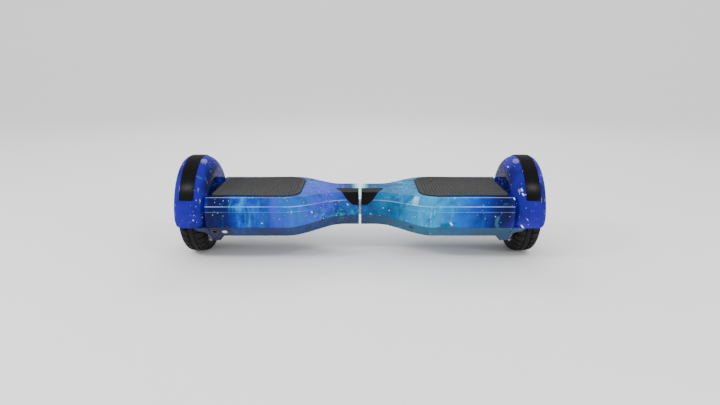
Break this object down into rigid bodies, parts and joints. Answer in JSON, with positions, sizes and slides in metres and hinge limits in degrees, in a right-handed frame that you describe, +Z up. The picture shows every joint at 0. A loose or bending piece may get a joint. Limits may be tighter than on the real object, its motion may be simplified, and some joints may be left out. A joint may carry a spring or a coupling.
{
  "type": "self balancing hoverboard",
  "caption": "Self balancing hoverboard: twin halves twisting on a central pivot, hub motor wheels under arched mudguards, rubber foot pads, lamp lenses and a galaxy print.",
  "frame": {"origin": "on the ground, midway between the wheels and between front and back", "axes": "+X along the wheel axle to the rider's right, -Y to the front with the lamp lenses, +Z up"},
  "size_m": [0.64, 0.189, 0.178],
  "materials": {
    "shell_upper": "high-gloss printed film, deep blue to cyan star field",
    "shell_lower": "high-gloss printed film, darker",
    "pad_rubber": "moulded anti-slip rubber",
    "black_gloss": "glossy black",
    "black_plastic": "satin black moulding",
    "button_plastic": "pale translucent cap",
    "tyre_rubber": "solid rubber",
    "hub_paint": "dark grey paint",
    "rim_metal": "machined",
    "cast_aluminium": "cast, shot blasted",
    "steel": "ground",
    "dark_steel": "black oxide",
    "laminations": "stacked electrical steel",
    "copper": "enamelled copper wire",
    "magnet_nickel": "nickel plate",
    "bush_nylon": "natural nylon",
    "circuit_board": "solder mask",
    "cable_jacket": "soft jacket",
    "battery_wrap": "cells in blue shrink wrap"
  },
  "bodies": {
    "left_half": {"axle_clamp_left": "cast_aluminium", "axle_left": "steel", "bumper_strip_left": "black_gloss", "casing_screws_left": "dark_steel", "charge_socket": "black_plastic", "clamp_bolts_left": "dark_steel", "frame_left": "cast_aluminium", "light_board_left": "circuit_board", "light_lens_left": "black_gloss", "link_cable": "cable_jacket", "lower_shell_left": "shell_lower", "main_board": "circuit_board", "motor_cable_left": "cable_jacket", "motor_stator_left": "laminations", "motor_windings_left": "copper", "pivot_pins": "steel", "pivot_tube": "steel", "power_switch": "black_plastic", "retaining_rings": "dark_steel", "sensor_board_left": "circuit_board", "thrust_washers": "bush_nylon", "upper_shell_left": "shell_upper"},
    "right_half": {"axle_clamp_right": "cast_aluminium", "axle_right": "steel", "battery_pack": "battery_wrap", "battery_strap": "steel", "bumper_strip_right": "black_gloss", "casing_screws_right": "dark_steel", "clamp_bolts_right": "dark_steel", "frame_right": "cast_aluminium", "light_board_right": "circuit_board", "light_lens_right": "black_gloss", "lower_shell_right": "shell_lower", "motor_cable_right": "cable_jacket", "motor_stator_right": "laminations", "motor_windings_right": "copper", "pivot_bushes": "bush_nylon", "sensor_board_right": "circuit_board", "upper_shell_right": "shell_upper"},
    "wheel_left": {"cover_screws_left": "dark_steel", "hub_cover_left": "hub_paint", "inner_hub_cover_left": "hub_paint", "rim_left": "rim_metal", "rotor_magnets_left": "magnet_nickel", "tyre_left": "tyre_rubber", "wheel_bearings_left": "steel"},
    "wheel_right": {"cover_screws_right": "dark_steel", "hub_cover_right": "hub_paint", "inner_hub_cover_right": "hub_paint", "rim_right": "rim_metal", "rotor_magnets_right": "magnet_nickel", "tyre_right": "tyre_rubber", "wheel_bearings_right": "steel"},
    "pad_left": {"foot_pad_left": "pad_rubber", "pad_plungers_left": "pad_rubber"},
    "pad_right": {"foot_pad_right": "pad_rubber", "pad_plungers_right": "pad_rubber"},
    "button": {"power_button": "button_plastic"}
  },
  "joints": [
    {"name": "half_twist", "type": "hinge", "parent": "left_half", "child": "right_half", "pos_m": [0, 0, 0.0825], "axis": [1, 0, 0], "range_deg": [-15, 15]},
    {"name": "wheel_spin_left", "type": "hinge", "parent": "left_half", "child": "wheel_left", "pos_m": [-0.2965, 0, 0.0825], "axis": [1, 0, 0], "continuous": true},
    {"name": "wheel_spin_right", "type": "hinge", "parent": "right_half", "child": "wheel_right", "pos_m": [0.2965, 0, 0.0825], "axis": [1, 0, 0], "continuous": true},
    {"name": "pad_press_left", "type": "slide", "parent": "left_half", "child": "pad_left", "axis": [0, 0, -1], "range_m": [0, 0.0015], "stiffness_N_per_m": 20000, "springref_m": -0.0005},
    {"name": "pad_press_right", "type": "slide", "parent": "right_half", "child": "pad_right", "axis": [0, 0, -1], "range_m": [0, 0.0015], "stiffness_N_per_m": 20000, "springref_m": -0.0005},
    {"name": "power_button_press", "type": "slide", "parent": "left_half", "child": "button", "axis": [0, 0.7071, 0.7071], "range_m": [0, 0.0008], "stiffness_N_per_m": 800, "springref_m": -0.0005}
  ]
}
